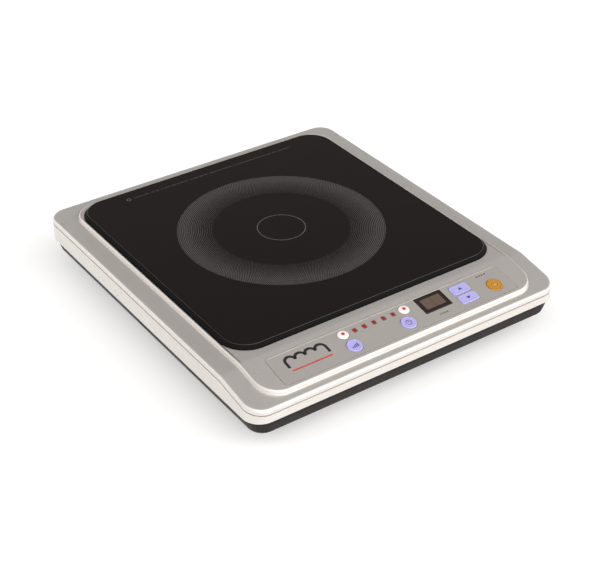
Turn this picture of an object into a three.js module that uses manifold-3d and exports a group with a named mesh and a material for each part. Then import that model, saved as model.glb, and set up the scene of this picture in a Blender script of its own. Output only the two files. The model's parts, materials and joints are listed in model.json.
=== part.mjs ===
// A free-standing single-zone induction hob, as an assembly of separate pieces.
// Millimetres, +Z up. The origin is on the ground under the middle of the hob; the control panel faces -Y.

import * as THREE from 'three';
import { mergeVertices } from 'three/addons/utils/BufferGeometryUtils.js';
import Module from 'manifold-3d';

const wasm = await Module();
wasm.setup();

// ---------- driving dimensions ----------

const WIDTH = 325;
const DEPTH = 361;
const HEIGHT = 63.5;
const GAP = 0.3;                    // air left between touching pieces
const WALL = 2.5;                   // moulded wall thickness
const CORNER = 17;                  // corner radius of the case in plan
const CORNER_STEPS = 6;             // facets in a quarter circle of the case's corners

// heights of the case, from the ground up
const FLOOR_UNDER = 9;              // underside of the base pan, on its feet
const CHINE = 20.7;                 // where the pan's sloped underside meets its upright wall
const SKIRT_BOTTOM = 33.3;
const SKIRT_TOP = 50;
const GROOVE = 1.6;                 // parting groove between skirt and top cover
const LOWER_TIER = 55.9;
const UPPER_TIER = 59.9;

// the control panel slopes down from a crease in front of the glass
const CREASE_Y = -130.5;
const PANEL_TILT = THREE.MathUtils.degToRad(10.3);

const ZONE = { x: 0, y: 20.5 };     // middle of the cooking zone and of the glass
const GLASS = { halfX: 137.8, halfY: 139.8, corner: 23, thick: 4 };
const SEAL_WIDTH = 3.1;
const LEDGE = 10;                   // how far the glass lies on the cover

// keys and windows on the panel: x from the middle, down = distance down the slope from the crease
const OVERLAY = { halfX: 123.5, top: 6, bottom: 39.2, corner: 3 };
const ROUND_KEY_R = 7;
const POWER_KEY_R = 7.3;
const KEYS = [
  { name: 'power', x: 106.5, down: 26.5, r: POWER_KEY_R, colour: 0xd08a1c },
  { name: 'round_left', x: -48, down: 28.5, r: ROUND_KEY_R, colour: 0xb4aee0 },
  { name: 'round_right', x: 9, down: 28.5, r: ROUND_KEY_R, colour: 0xb4aee0 },
  { name: 'up', x: 75, down: 16, halfX: 9.5, halfY: 5.2, colour: 0xb4aee0 },
  { name: 'down', x: 75, down: 28.4, halfX: 9.5, halfY: 5.2, colour: 0xb4aee0 },
];
const INDICATORS = { count: 5, pitch: 10.1, x: -17, down: 13.8, halfX: 1.7, halfY: 2.1 };
const MODE_LENS = { reach: 32.2, down: 13.5, r: 5 };
const DISPLAY = { x: 43.8, down: 17.6, halfX: 14.4, halfY: 9.8 };

const FAN = { x: -62, y: 88, half: 46, bottom: 13.3, top: 38.3, duct: 44.5, hub: 18 };
const BOARD = { x0: 14, x1: 90, y0: -70, y1: 150, bottom: 17.8, thick: 1.6 };
const FOOT = { x: 120, y: 137, r: 12 };
const SCREW = { x: 134.5, front: -90, back: 130 };
const GLAND = { x: 110, z: 27.4, bore: 3.5, notch: 7, flange: 1.6, low: 22.2 };

// ---------- materials ----------

function material(colour, roughness, metalness = 0) {
  return new THREE.MeshStandardMaterial({ color: colour, roughness, metalness });
}

const SILVER = [0xbdb8b1, 0.38, 0.35];
const BLACK_PLASTIC = [0x2b2927, 0.6];
const RUBBER = [0x1c1c1c, 0.85];
const FERRITE = [0x3a3a3c, 0.7];
const BOARD_GREEN = [0x3c6b45, 0.55];
const WHITE_PLASTIC = [0xe9e6df, 0.45];
const STEEL = [0xb9bcc0, 0.35, 0.9];
const ALUMINIUM = [0xc7c9cc, 0.4, 0.85];
const BLUE_FILM = [0x2f5fa8, 0.5];
const GREY_FILM = [0x8b8f92, 0.5];

// ---------- geometry helpers ----------

function bare(geometry) {
  const copy = geometry.clone();
  copy.deleteAttribute('normal');
  copy.deleteAttribute('uv');
  return mergeVertices(copy, 1e-5);
}

function solid(geometry) {
  const merged = bare(geometry);
  const vertProperties = new Float32Array(merged.attributes.position.array);
  const triVerts = new Uint32Array(merged.index.array);
  return new wasm.Manifold(new wasm.Mesh({ numProp: 3, vertProperties, triVerts }));
}

function geometryOf(shape) {
  const mesh = shape.getMesh();
  const geometry = new THREE.BufferGeometry();
  geometry.setAttribute('position', new THREE.BufferAttribute(new Float32Array(mesh.vertProperties), 3));
  geometry.setIndex(new THREE.BufferAttribute(new Uint32Array(mesh.triVerts), 1));
  geometry.computeVertexNormals();
  return geometry;
}

function joinAll(first, others) {
  return others.reduce((whole, piece) => whole.add(piece), first);
}

function cutAll(first, cutters) {
  return cutters.reduce((whole, cutter) => whole.subtract(cutter), first);
}

// A rounded rectangle as a closed list of points, counter-clockwise.
function roundedRect(x0, x1, y0, y1, corner, steps = CORNER_STEPS) {
  const r = Math.max(corner, 0.2);
  const centres = [[x1 - r, y1 - r], [x0 + r, y1 - r], [x0 + r, y0 + r], [x1 - r, y0 + r]];
  const points = [];
  centres.forEach(([cx, cy], quarter) => {
    for (let i = 0; i <= steps; i++) {
      const angle = (quarter + i / steps) * Math.PI / 2;
      points.push([cx + r * Math.cos(angle), cy + r * Math.sin(angle)]);
    }
  });
  return points;
}

// The case outline moved inwards; the front and back may move by their own amounts.
function caseRing(z, inset, insetFront = inset, insetBack = inset, corner = CORNER - inset) {
  const x = WIDTH / 2 - inset;
  return { z, points: roundedRect(-x, x, -DEPTH / 2 + insetFront, DEPTH / 2 - insetBack, corner) };
}

// The glass outline moved outwards by grow.
function glassRing(z, grow) {
  const x = GLASS.halfX + grow;
  const y = GLASS.halfY + grow;
  return { z, points: roundedRect(-x, x, ZONE.y - y, ZONE.y + y, GLASS.corner + grow) };
}

// Skins a list of rings. A tube closes on its first ring; otherwise the two end rings are capped.
function skin(rings, isTube) {
  const count = rings[0].points.length;
  const positions = [];
  rings.forEach((ring) => ring.points.forEach(([x, y]) => positions.push(x, y, ring.z)));
  const index = [];
  const last = isTube ? rings.length : rings.length - 1;
  for (let i = 0; i < last; i++) {
    const lower = i * count;
    const upper = ((i + 1) % rings.length) * count;
    for (let j = 0; j < count; j++) {
      const next = (j + 1) % count;
      index.push(lower + j, lower + next, upper + next);
      index.push(lower + j, upper + next, upper + j);
    }
  }
  if (!isTube) {
    const top = (rings.length - 1) * count;
    for (let j = 1; j < count - 1; j++) {
      index.push(0, j + 1, j);
      index.push(top, top + j, top + j + 1);
    }
  }
  const geometry = new THREE.BufferGeometry();
  geometry.setAttribute('position', new THREE.Float32BufferAttribute(positions, 3));
  geometry.setIndex(index);
  geometry.computeVertexNormals();
  return geometry;
}

// Lowers everything in front of the crease so that it follows the panel's slope.
// Triangles that cross the crease are divided along it first. Points at or below keepBelow stay where they are.
function bendAtCrease(geometry, keepBelow = -Infinity) {
  const merged = bare(geometry);
  const source = merged.attributes.position;
  const points = [];
  for (let i = 0; i < source.count; i++) {
    points.push([source.getX(i), source.getY(i), source.getZ(i)]);
  }
  const side = (i) => {
    const distance = points[i][1] - CREASE_Y;
    return Math.abs(distance) < 1e-4 ? 0 : Math.sign(distance);
  };
  const cuts = new Map();
  const cutEdge = (i, j) => {
    const a = Math.min(i, j);
    const b = Math.max(i, j);
    const key = `${a}_${b}`;
    if (!cuts.has(key)) {
      const t = (CREASE_Y - points[a][1]) / (points[b][1] - points[a][1]);
      const mix = (k) => points[a][k] + t * (points[b][k] - points[a][k]);
      points.push([mix(0), CREASE_Y, mix(2)]);
      cuts.set(key, points.length - 1);
    }
    return cuts.get(key);
  };
  const index = [];
  for (let t = 0; t < merged.index.count; t += 3) {
    const corners = [0, 1, 2].map((k) => merged.index.getX(t + k));
    const sides = corners.map(side);
    if (Math.max(...sides) <= 0 || Math.min(...sides) >= 0) {
      index.push(...corners);
      continue;
    }
    const front = [];
    const back = [];
    for (let k = 0; k < 3; k++) {
      const here = corners[k];
      const next = corners[(k + 1) % 3];
      if (sides[k] <= 0) front.push(here);
      if (sides[k] >= 0) back.push(here);
      if (sides[k] * sides[(k + 1) % 3] < 0) {
        const middle = cutEdge(here, next);
        front.push(middle);
        back.push(middle);
      }
    }
    [front, back].forEach((polygon) => {
      for (let k = 1; k < polygon.length - 1; k++) index.push(polygon[0], polygon[k], polygon[k + 1]);
    });
  }
  const positions = [];
  points.forEach(([x, y, z]) => {
    const drop = z > keepBelow ? Math.max(0, CREASE_Y - y) * Math.tan(PANEL_TILT) : 0;
    positions.push(x, y, z - drop);
  });
  const bent = new THREE.BufferGeometry();
  bent.setAttribute('position', new THREE.Float32BufferAttribute(positions, 3));
  bent.setIndex(index);
  bent.computeVertexNormals();
  return bent;
}

// Moves a geometry from the panel's own frame (x across, y up the slope from the crease, z out of the face).
function fromPanel(geometry) {
  const moved = geometry.clone();
  moved.rotateX(PANEL_TILT);
  moved.translate(0, CREASE_Y, UPPER_TIER);
  return moved;
}

function box(x0, x1, y0, y1, z0, z1) {
  const geometry = new THREE.BoxGeometry(x1 - x0, y1 - y0, z1 - z0);
  geometry.translate((x0 + x1) / 2, (y0 + y1) / 2, (z0 + z1) / 2);
  return geometry;
}

function post(x, y, z0, z1, r, steps = 20) {
  const geometry = new THREE.CylinderGeometry(r, r, z1 - z0, steps);
  geometry.rotateX(Math.PI / 2);
  geometry.translate(x, y, (z0 + z1) / 2);
  return geometry;
}

// A profile of [radius, height] points turned about a vertical axis at x, y.
function turned(profile, x, y, steps = 24) {
  const geometry = new THREE.LatheGeometry(profile.map(([r, z]) => new THREE.Vector2(r, z)), steps);
  geometry.rotateX(Math.PI / 2);
  geometry.translate(x, y, 0);
  return geometry;
}

// A rounded block between two heights, its upper edge drawn in by bevel.
function block(halfX, halfY, corner, z0, z1, bevel = 0) {
  const steps = Math.min(5, Math.ceil(corner));
  const ring = (z, inset) => {
    const x = halfX - inset;
    const y = halfY - inset;
    return { z, points: roundedRect(-x, x, -y, y, corner - inset, steps) };
  };
  const rings = [ring(z0, 0), ring(z1 - bevel, 0)];
  if (bevel > 0) rings.push(ring(z1, bevel));
  return skin(rings, false);
}

// ---------- scene graph ----------

const hob = new THREE.Group();
const panel = new THREE.Group();
panel.position.set(0, CREASE_Y, UPPER_TIER);
panel.rotation.x = PANEL_TILT;
hob.add(panel);

function place(group, name, geometry, look) {
  const mesh = new THREE.Mesh(geometry, material(...look));
  mesh.name = name;
  group.add(mesh);
  return mesh;
}

// ---------- case ----------

const STEP_SIDE = 18.1;             // how far in the upper tier starts, at the sides, the front and the back
const STEP_FRONT = 6.9;
const STEP_BACK = 14.1;
const STEP_CORNER = 22;
const STEP_EDGE = [[0, 0], [0.5, 2.4], [1, 3.4], [2.2, 4]];  // [in, up] from the step's foot
const RIM_ROUND = 2.6;
const TONGUE = 1.3;                 // the cover's hidden lip behind the groove
const PANEL_SKIN = 3.2;
const BAND_UNDER = LOWER_TIER - WALL;
const PANEL_POSTS = [[-112, 10], [-112, 34], [-62, 34], [24, 34], [92, 8], [116, 12]];

function tierRing(z, extra) {
  const corner = STEP_CORNER - extra;
  return caseRing(z, STEP_SIDE + extra, STEP_FRONT + extra, STEP_BACK + extra, corner);
}

function topCoverShell() {
  const rings = [caseRing(SKIRT_TOP + GAP, TONGUE), caseRing(SKIRT_TOP + GROOVE, TONGUE)];
  rings.push(caseRing(SKIRT_TOP + GROOVE, 0));
  const facets = 3;
  for (let i = 0; i <= facets; i++) {
    const angle = (i / facets) * Math.PI / 2;
    const inset = RIM_ROUND * (1 - Math.cos(angle));
    rings.push(caseRing(LOWER_TIER - RIM_ROUND * (1 - Math.sin(angle)), inset));
  }
  STEP_EDGE.forEach(([inwards, up]) => rings.push(tierRing(LOWER_TIER + up, inwards)));
  rings.push(glassRing(UPPER_TIER, SEAL_WIDTH + GAP));
  rings.push(glassRing(HEIGHT - GLASS.thick - GAP, SEAL_WIDTH + GAP));
  rings.push(glassRing(HEIGHT - GLASS.thick - GAP, -LEDGE));
  rings.push(glassRing(UPPER_TIER - PANEL_SKIN, -LEDGE));
  rings.push(tierRing(UPPER_TIER - PANEL_SKIN, WALL));
  rings.push(tierRing(BAND_UNDER, WALL));
  rings.push(caseRing(BAND_UNDER, WALL));
  rings.push(caseRing(SKIRT_TOP + GAP, WALL));
  return skin(rings, true);
}

function keyOutline(key, grow, z0, z1, bevel = 0) {
  if (key.r) return block(key.r + grow, key.r + grow, key.r + grow, z0, z1, bevel);
  return block(key.halfX + grow, key.halfY + grow, 2 + grow, z0, z1, bevel);
}

function indicatorX(i) {
  return INDICATORS.x + (i - (INDICATORS.count - 1) / 2) * INDICATORS.pitch;
}

// The openings of the panel in its own frame, each wider than what stands in it by grow.
function panelOpenings(grow, z0, z1) {
  const cutters = KEYS.map((key) => keyOutline(key, grow, z0, z1).translate(key.x, -key.down, 0));
  for (let i = 0; i < INDICATORS.count; i++) {
    const cutter = block(INDICATORS.halfX + grow, INDICATORS.halfY + grow, 0.5, z0, z1);
    cutters.push(cutter.translate(indicatorX(i), -INDICATORS.down, 0));
  }
  [-1, 1].forEach((side) => {
    const x = INDICATORS.x + side * MODE_LENS.reach;
    cutters.push(post(x, -MODE_LENS.down, z0, z1, MODE_LENS.r + grow, 20));
  });
  const display = block(DISPLAY.halfX + grow, DISPLAY.halfY + grow, 0.8, z0, z1);
  cutters.push(display.translate(DISPLAY.x, -DISPLAY.down, 0));
  return cutters;
}

const OVERLAY_FLOOR = -0.8;         // depth of the recess that the overlay lies in
const OVERLAY_TOP = 0.2;
const CONTROL_BOARD_TOP = -12;

function overlayBlock(grow, z0, z1) {
  const halfY = (OVERLAY.bottom - OVERLAY.top) / 2;
  const slab = block(OVERLAY.halfX + grow, halfY + grow, OVERLAY.corner + grow, z0, z1);
  return slab.translate(0, -(OVERLAY.top + OVERLAY.bottom) / 2, 0);
}

function topCover() {
  let shape = solid(bendAtCrease(topCoverShell()));
  shape = shape.subtract(solid(fromPanel(overlayBlock(GAP, OVERLAY_FLOOR, 5))));
  shape = cutAll(shape, panelOpenings(0.4, -8, 5).map((cutter) => solid(fromPanel(cutter))));
  const postTop = -PANEL_SKIN + 0.5;
  const posts = PANEL_POSTS.map(([x, down]) => post(x, -down, CONTROL_BOARD_TOP + GAP, postTop, 2.6, 8));
  shape = joinAll(shape, posts.map((geometry) => solid(fromPanel(geometry))));
  const bosses = [];
  const pilots = [];
  [-SCREW.x, SCREW.x].forEach((x) => [SCREW.front, SCREW.back].forEach((y) => {
    bosses.push(solid(post(x, y, 24.3, UPPER_TIER - PANEL_SKIN + 0.5, 4.5, 12)));
    pilots.push(solid(post(x, y, 20, 40, 2.2, 10)));
  }));
  return geometryOf(cutAll(joinAll(shape, bosses), pilots));
}

function skirtFrame() {
  const ledge = 2;
  const rings = [
    caseRing(SKIRT_BOTTOM, 0.6), caseRing(SKIRT_BOTTOM + 0.6, 0), caseRing(SKIRT_TOP, 0),
    caseRing(SKIRT_TOP, WALL), caseRing(SKIRT_BOTTOM + ledge, WALL),
    caseRing(SKIRT_BOTTOM + ledge, 8), caseRing(SKIRT_BOTTOM, 8),
  ];
  return bendAtCrease(skin(rings, true), SKIRT_BOTTOM + ledge + 1);
}

const PAN_INSET = 4;                // how far in the pan's upright wall stands, at the front and back
const PAN_SIDE = 5.2;               // and at the sides
const PAN_CORNER = 15;
const FLOOR_INSET = 17;
const FLOOR_TOP = FLOOR_UNDER + WALL;

function panRing(z, extra) {
  return caseRing(z, PAN_SIDE + extra, PAN_INSET + extra, PAN_INSET + extra, PAN_CORNER - extra);
}

function panShell() {
  const rimTop = SKIRT_BOTTOM - GAP;
  const rings = [
    caseRing(FLOOR_UNDER, FLOOR_INSET + 1.5, undefined, undefined, 12),
    caseRing(FLOOR_UNDER + 1.2, FLOOR_INSET - 0.6, undefined, undefined, 12),
    panRing(CHINE - 0.8, 0.9), panRing(CHINE + 0.8, 0), panRing(rimTop, 0),
    panRing(rimTop, WALL), panRing(CHINE + 1, WALL),
    caseRing(FLOOR_TOP, FLOOR_INSET + 2, undefined, undefined, 11),
  ];
  return skin(rings, false);
}

function intakeSlots() {
  const slots = [];
  const pitch = 8.6;
  for (let i = -4; i <= 4; i++) {
    const reach = Math.sqrt(41 ** 2 - (i * pitch) ** 2);
    const y = FAN.y + i * pitch;
    slots.push(box(FAN.x - reach, FAN.x + reach, y - 2, y + 2, FLOOR_UNDER - 1, FLOOR_TOP + 1));
  }
  return slots;
}

function exhaustSlots() {
  const slots = [];
  const pitch = 9;
  for (let i = 0; i < 12; i++) {
    const y = 20 + i * pitch;
    slots.push(box(WIDTH / 2 - 12, WIDTH / 2, y - 2, y + 2, CHINE + 2, CHINE + 9));
  }
  for (let i = 0; i < 13; i++) {
    const x = -30 + i * pitch;
    slots.push(box(x - 2, x + 2, DEPTH / 2 - 12, DEPTH / 2, CHINE + 2, CHINE + 9));
  }
  return slots;
}

const BOARD_POSTS = [[20, -64], [84, -64], [20, 144], [84, 144]];
const COIL_POSTS = [[101, 0], [-101, 0], [0, 101], [0, -101]];   // from the middle of the zone
const COIL_BASE = 50;

function basePan() {
  let shape = solid(panShell());
  const rise = [];
  BOARD_POSTS.forEach(([x, y]) => rise.push(post(x, y, FLOOR_TOP - 0.5, BOARD.bottom - GAP, 3.5, 8)));
  COIL_POSTS.forEach(([x, y]) => rise.push(post(x, ZONE.y + y, FLOOR_TOP - 0.5, COIL_BASE - GAP, 4.5, 10)));
  [-1, 1].forEach((i) => [-1, 1].forEach((j) => {
    const pad = FAN.half - 5;
    rise.push(post(FAN.x + i * pad, FAN.y + j * pad, FLOOR_TOP - 0.5, FAN.bottom - GAP, 3.5, 8));
  }));
  const bores = [];
  [-SCREW.x, SCREW.x].forEach((x) => [SCREW.front, SCREW.back].forEach((y) => {
    rise.push(post(x, y, FLOOR_TOP - 0.5, 24, 6.5, 14));
    bores.push(post(x, y, FLOOR_UNDER - 1, 17, 4.6, 14));
    bores.push(post(x, y, 16, 25, 2.2, 10));
  }));
  [-FOOT.x, FOOT.x].forEach((x) => [-FOOT.y, FOOT.y].forEach((y) => {
    bores.push(post(x, y, FLOOR_UNDER - 1, FLOOR_TOP + 1, 3.4, 12));
  }));
  const [left, right] = [GLAND.x - GLAND.notch, GLAND.x + GLAND.notch];
  const glandNotch = box(left, right, DEPTH / 2 - 12, DEPTH / 2, GLAND.low - GAP, SKIRT_BOTTOM + 1);
  shape = joinAll(shape, rise.map(solid));
  shape = cutAll(shape, bores.map(solid));
  shape = cutAll(shape, [...intakeSlots(), ...exhaustSlots(), glandNotch].map(solid));
  return geometryOf(shape);
}

place(hob, 'top_cover', topCover(), SILVER);
place(hob, 'skirt_frame', skirtFrame(), SILVER);
place(hob, 'base_pan', basePan(), BLACK_PLASTIC);

// ---------- glass ----------

function glassPlate() {
  const under = HEIGHT - GLASS.thick;
  const rings = [glassRing(under, -0.4), glassRing(under + 0.4, 0), glassRing(HEIGHT - 0.5, 0)];
  rings.push(glassRing(HEIGHT, -0.5));
  return skin(rings, false);
}

function glassSeal() {
  const under = HEIGHT - GLASS.thick;
  const rings = [
    glassRing(under, SEAL_WIDTH), glassRing(UPPER_TIER + 0.3, SEAL_WIDTH),
    glassRing(UPPER_TIER + 1.2, SEAL_WIDTH * 0.5), glassRing(HEIGHT - 1, GAP), glassRing(under, GAP),
  ];
  return skin(rings, true);
}

place(hob, 'glass_plate', glassPlate(), [0x1e1a18, 0.08]);
place(hob, 'glass_seal', glassSeal(), RUBBER);

// ---------- control panel ----------

function panelOverlay() {
  const slab = solid(overlayBlock(0, OVERLAY_FLOOR + GAP, OVERLAY_TOP));
  return geometryOf(cutAll(slab, panelOpenings(GAP, -3, 3).map(solid)));
}

const FLANGE = 0.8;                 // how far the key's hidden flange reaches beyond its cap
const FLANGE_TOP = -PANEL_SKIN - GAP;
const SWITCH_TOP = CONTROL_BOARD_TOP + 4;
const STEM_DIP = 0.8;               // how far the key's stem sits in its switch at rest

function keyCap(key) {
  const cap = solid(keyOutline(key, 0, FLANGE_TOP - 0.5, 1.1, 0.5));
  const flange = solid(keyOutline(key, FLANGE, FLANGE_TOP - 1, FLANGE_TOP));
  const stem = solid(post(0, 0, SWITCH_TOP - STEM_DIP, FLANGE_TOP - 0.5, 1.5, 12));
  return geometryOf(cap.add(flange).add(stem));
}

function tactSwitch() {
  const body = solid(box(-3, 3, -3, 3, CONTROL_BOARD_TOP + GAP, SWITCH_TOP));
  return geometryOf(body.subtract(solid(post(0, 0, SWITCH_TOP - 2.2, SWITCH_TOP + 1, 1.9, 12))));
}

place(panel, 'panel_overlay', panelOverlay(), [0xb3aeaa, 0.42, 0.2]);
KEYS.forEach((key) => {
  place(panel, `key_${key.name}`, keyCap(key), [key.colour, 0.45]).position.set(key.x, -key.down, 0);
  place(panel, `switch_${key.name}`, tactSwitch(), BLACK_PLASTIC).position.set(key.x, -key.down, 0);
});

for (let i = 0; i < INDICATORS.count; i++) {
  const lens = block(INDICATORS.halfX, INDICATORS.halfY, 0.5, -4.2, 0.5, 0.2);
  const mesh = place(panel, `indicator_lens_${i + 1}`, lens, [0x8c1410, 0.3]);
  mesh.position.set(indicatorX(i), -INDICATORS.down, 0);
}

['left', 'right'].forEach((name, i) => {
  const profile = [[0, -4.2], [MODE_LENS.r, -4.2], [MODE_LENS.r, 0.3], [MODE_LENS.r - 0.5, 0.6], [0, 0.8]];
  const lens = turned(profile, 0, 0, 20);
  const mesh = place(panel, `mode_lens_${name}`, lens, [0xf2e9e6, 0.3]);
  mesh.position.set(INDICATORS.x + (i * 2 - 1) * MODE_LENS.reach, -MODE_LENS.down, 0);
});

const displayWindow = block(DISPLAY.halfX, DISPLAY.halfY, 0.8, -1.6, 0.4, 0.2);
place(panel, 'display_window', displayWindow, [0x2a211e, 0.12]).position.set(DISPLAY.x, -DISPLAY.down, 0);
const displayModule = block(12.5, 8.5, 0.6, CONTROL_BOARD_TOP + GAP, -2.2);
place(panel, 'display_module', displayModule, WHITE_PLASTIC).position.set(DISPLAY.x, -DISPLAY.down, 0);

const controlBoard = box(-119, 119, -39, -4, CONTROL_BOARD_TOP - BOARD.thick, CONTROL_BOARD_TOP);
place(panel, 'control_board', controlBoard, BOARD_GREEN);

// ---------- coil under the glass ----------

const COIL = { inner: 24, outer: 90, bottom: COIL_BASE + 2.6, top: 58 };
const GLASS_UNDER = HEIGHT - GLASS.thick;

function micaSheet() {
  const z0 = GLASS_UNDER - GAP - 0.8;
  const z1 = GLASS_UNDER - GAP;
  return turned([[8, z0], [94, z0], [94, z1], [8, z1], [8, z0]], ZONE.x, ZONE.y, 32);
}

// The winding is one flat coil; its turns show as ridges on the upper face.
function coilWinding() {
  const ridges = 4;
  const width = (COIL.outer - COIL.inner) / ridges;
  const profile = [[COIL.inner, COIL.bottom], [COIL.outer, COIL.bottom]];
  for (let i = ridges; i > 0; i--) {
    profile.push([COIL.inner + i * width, COIL.top - 0.8]);
    profile.push([COIL.inner + (i - 0.5) * width, COIL.top]);
  }
  profile.push([COIL.inner, COIL.top - 0.8], [COIL.inner, COIL.bottom]);
  return turned(profile, ZONE.x, ZONE.y, 28);
}

function coilFormer() {
  const floor = COIL_BASE + 2.3;
  const profile = [
    [10, COIL_BASE], [95, COIL_BASE], [95, 57.6], [COIL.outer + 1, 57.6], [COIL.outer + 1, floor],
    [COIL.inner - 1, floor], [COIL.inner - 1, 57.6], [10, 57.6], [10, COIL_BASE],
  ];
  let shape = solid(turned(profile, ZONE.x, ZONE.y, 28));
  COIL_POSTS.forEach(([x, y]) => {
    const lug = box(-9, 9, -8, 8, COIL_BASE, COIL_BASE + 4);
    shape = shape.add(solid(lug.translate(x, ZONE.y + y, 0)));
  });
  return geometryOf(shape);
}

place(hob, 'mica_sheet', micaSheet(), [0xd8cfba, 0.7]);
place(hob, 'coil_winding', coilWinding(), [0xa8642f, 0.5, 0.4]);
place(hob, 'coil_former', coilFormer(), BLACK_PLASTIC);

const FERRITES = 6;
for (let i = 0; i < FERRITES; i++) {
  const bar = box(30, 86, -6, 6, COIL_BASE - GAP - 5, COIL_BASE - GAP);
  const mesh = place(hob, `ferrite_bar_${i + 1}`, bar, FERRITE);
  mesh.position.set(ZONE.x, ZONE.y, 0);
  mesh.rotation.z = (i + 0.5) / FERRITES * 2 * Math.PI;
}

const sensorTop = GLASS_UNDER - GAP;
const sensor = [[0, COIL_BASE + 1], [8, COIL_BASE + 1], [8, COIL_BASE + 2.5], [5, COIL_BASE + 3],
  [5, sensorTop - 1], [4, sensorTop], [0, sensorTop]];
place(hob, 'coil_sensor', turned(sensor, ZONE.x, ZONE.y, 14), WHITE_PLASTIC);

// ---------- power electronics ----------

const ON_BOARD = BOARD.bottom + BOARD.thick + GAP;

place(hob, 'power_board', box(BOARD.x0, BOARD.x1, BOARD.y0, BOARD.y1, BOARD.bottom,
  BOARD.bottom + BOARD.thick), BOARD_GREEN);

// Upright fins on a plate; the air from the fan runs between them along X.
function heatsink() {
  const fins = 10;
  const depth = 78;
  const foot = 24.5;
  const plate = 4;
  const top = 42;
  const finWidth = 1.8;
  const pitch = (depth - finWidth) / (fins - 1);
  const outline = new THREE.Shape();
  outline.moveTo(0, foot);
  outline.lineTo(depth, foot);
  for (let i = fins - 1; i >= 0; i--) {
    const left = i * pitch;
    outline.lineTo(left + finWidth, top);
    outline.lineTo(left, top);
    if (i > 0) {
      outline.lineTo(left, foot + plate);
      outline.lineTo(left - pitch + finWidth, foot + plate);
    }
  }
  outline.closePath();
  const geometry = new THREE.ExtrudeGeometry(outline, { depth: 64, bevelEnabled: false });
  geometry.rotateX(Math.PI / 2);
  geometry.rotateZ(Math.PI / 2);
  geometry.translate(20, 32, 0);
  return geometry;
}

place(hob, 'heatsink', heatsink(), ALUMINIUM);
place(hob, 'igbt', box(28, 44, 70, 91, ON_BOARD, 24.2), BLACK_PLASTIC);
place(hob, 'bridge_rectifier', box(52, 77, 50, 70, ON_BOARD, 24.2), BLACK_PLASTIC);
const capacitor = (halfX, halfY, top) => block(halfX, halfY, 1.5, ON_BOARD, top, 1);
place(hob, 'resonant_capacitor', capacitor(15.5, 9, 41), BLUE_FILM).position.set(35, 16, 0);
place(hob, 'smoothing_capacitor', capacitor(15, 9, 39), GREY_FILM).position.set(70, 16, 0);
place(hob, 'filter_capacitor', capacitor(13, 6, 34), BLUE_FILM).position.set(33, -10, 0);

const chokeProfile = [];
const CHOKE_STEPS = 8;
for (let i = 0; i <= CHOKE_STEPS; i++) {
  const angle = (i / CHOKE_STEPS) * 2 * Math.PI;
  chokeProfile.push([12 + 5 * Math.cos(angle), ON_BOARD + 6 + 6 * Math.sin(angle)]);
}
chokeProfile[CHOKE_STEPS] = chokeProfile[0];
place(hob, 'choke', turned(chokeProfile, 68, -14, 16), [0xa8642f, 0.5, 0.4]);
place(hob, 'buzzer', post(28, -44, ON_BOARD, ON_BOARD + 8, 6, 20), BLACK_PLASTIC);
place(hob, 'terminal_block', capacitor(13, 6, 32), WHITE_PLASTIC).position.set(66, 132, 0);

// A flat cable from the front of the power board up to the back of the control board.
function ribbonCable() {
  const thick = 1;
  const curve = new THREE.CubicBezierCurve(
    new THREE.Vector2(-58, ON_BOARD + 0.6), new THREE.Vector2(-84, ON_BOARD + 0.6),
    new THREE.Vector2(-118, 24), new THREE.Vector2(-134, 42.5));
  const steps = 12;
  const upper = [];
  const lower = [];
  for (let i = 0; i <= steps; i++) {
    const point = curve.getPoint(i / steps);
    const along = curve.getTangent(i / steps);
    upper.push([point.x - along.y * thick / 2, point.y + along.x * thick / 2]);
    lower.unshift([point.x + along.y * thick / 2, point.y - along.x * thick / 2]);
  }
  const shape = new THREE.Shape([...upper, ...lower].map(([y, z]) => new THREE.Vector2(y, z)));
  const geometry = new THREE.ExtrudeGeometry(shape, { depth: 14, bevelEnabled: false });
  geometry.rotateX(Math.PI / 2);
  geometry.rotateZ(Math.PI / 2);
  geometry.translate(45, 0, 0);
  return geometry;
}

place(hob, 'ribbon_cable', ribbonCable(), [0xd9d6cf, 0.5]);

// ---------- cooling fan ----------

function fanFrame() {
  const { half, bottom, top, duct, hub } = FAN;
  let shape = solid(block(half, half, 4, bottom, top));
  shape = shape.subtract(solid(post(0, 0, bottom - 1, top + 1, duct, 28)));
  shape = shape.add(solid(post(0, 0, bottom, bottom + 2.6, hub, 16)));
  [0, 1].forEach((i) => {
    const strut = box(-duct - 0.5, duct + 0.5, -2, 2, bottom, bottom + 2.2);
    strut.rotateZ((i + 0.5) * Math.PI / 2);
    shape = shape.add(solid(strut));
  });
  return geometryOf(shape);
}

function fanRotor() {
  const { bottom, top, hub } = FAN;
  const blades = 7;
  const tip = 42.5;
  const root = hub - 3;
  const chord = 18;
  const pitch = THREE.MathUtils.degToRad(38);
  const middle = (bottom + top) / 2 + 1;
  const hubTop = top - 0.8;
  const hubBottom = bottom + 3.4;
  const hubProfile = [[0, hubBottom], [hub, hubBottom], [hub, top - 2], [hub - 1.5, hubTop], [0, hubTop]];
  let shape = solid(turned(hubProfile, 0, 0, 16));
  for (let i = 0; i < blades; i++) {
    const blade = new THREE.BoxGeometry(tip - root, chord, 1.6);
    blade.rotateX(pitch);
    blade.translate((tip + root) / 2, 0, middle);
    blade.rotateZ((i / blades) * 2 * Math.PI);
    shape = shape.add(solid(blade));
  }
  return geometryOf(shape);
}

place(hob, 'fan_frame', fanFrame(), BLACK_PLASTIC).position.set(FAN.x, FAN.y, 0);
place(hob, 'fan_rotor', fanRotor(), [0x222222, 0.5]).position.set(FAN.x, FAN.y, 0);

// ---------- gland, feet and screws ----------

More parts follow.
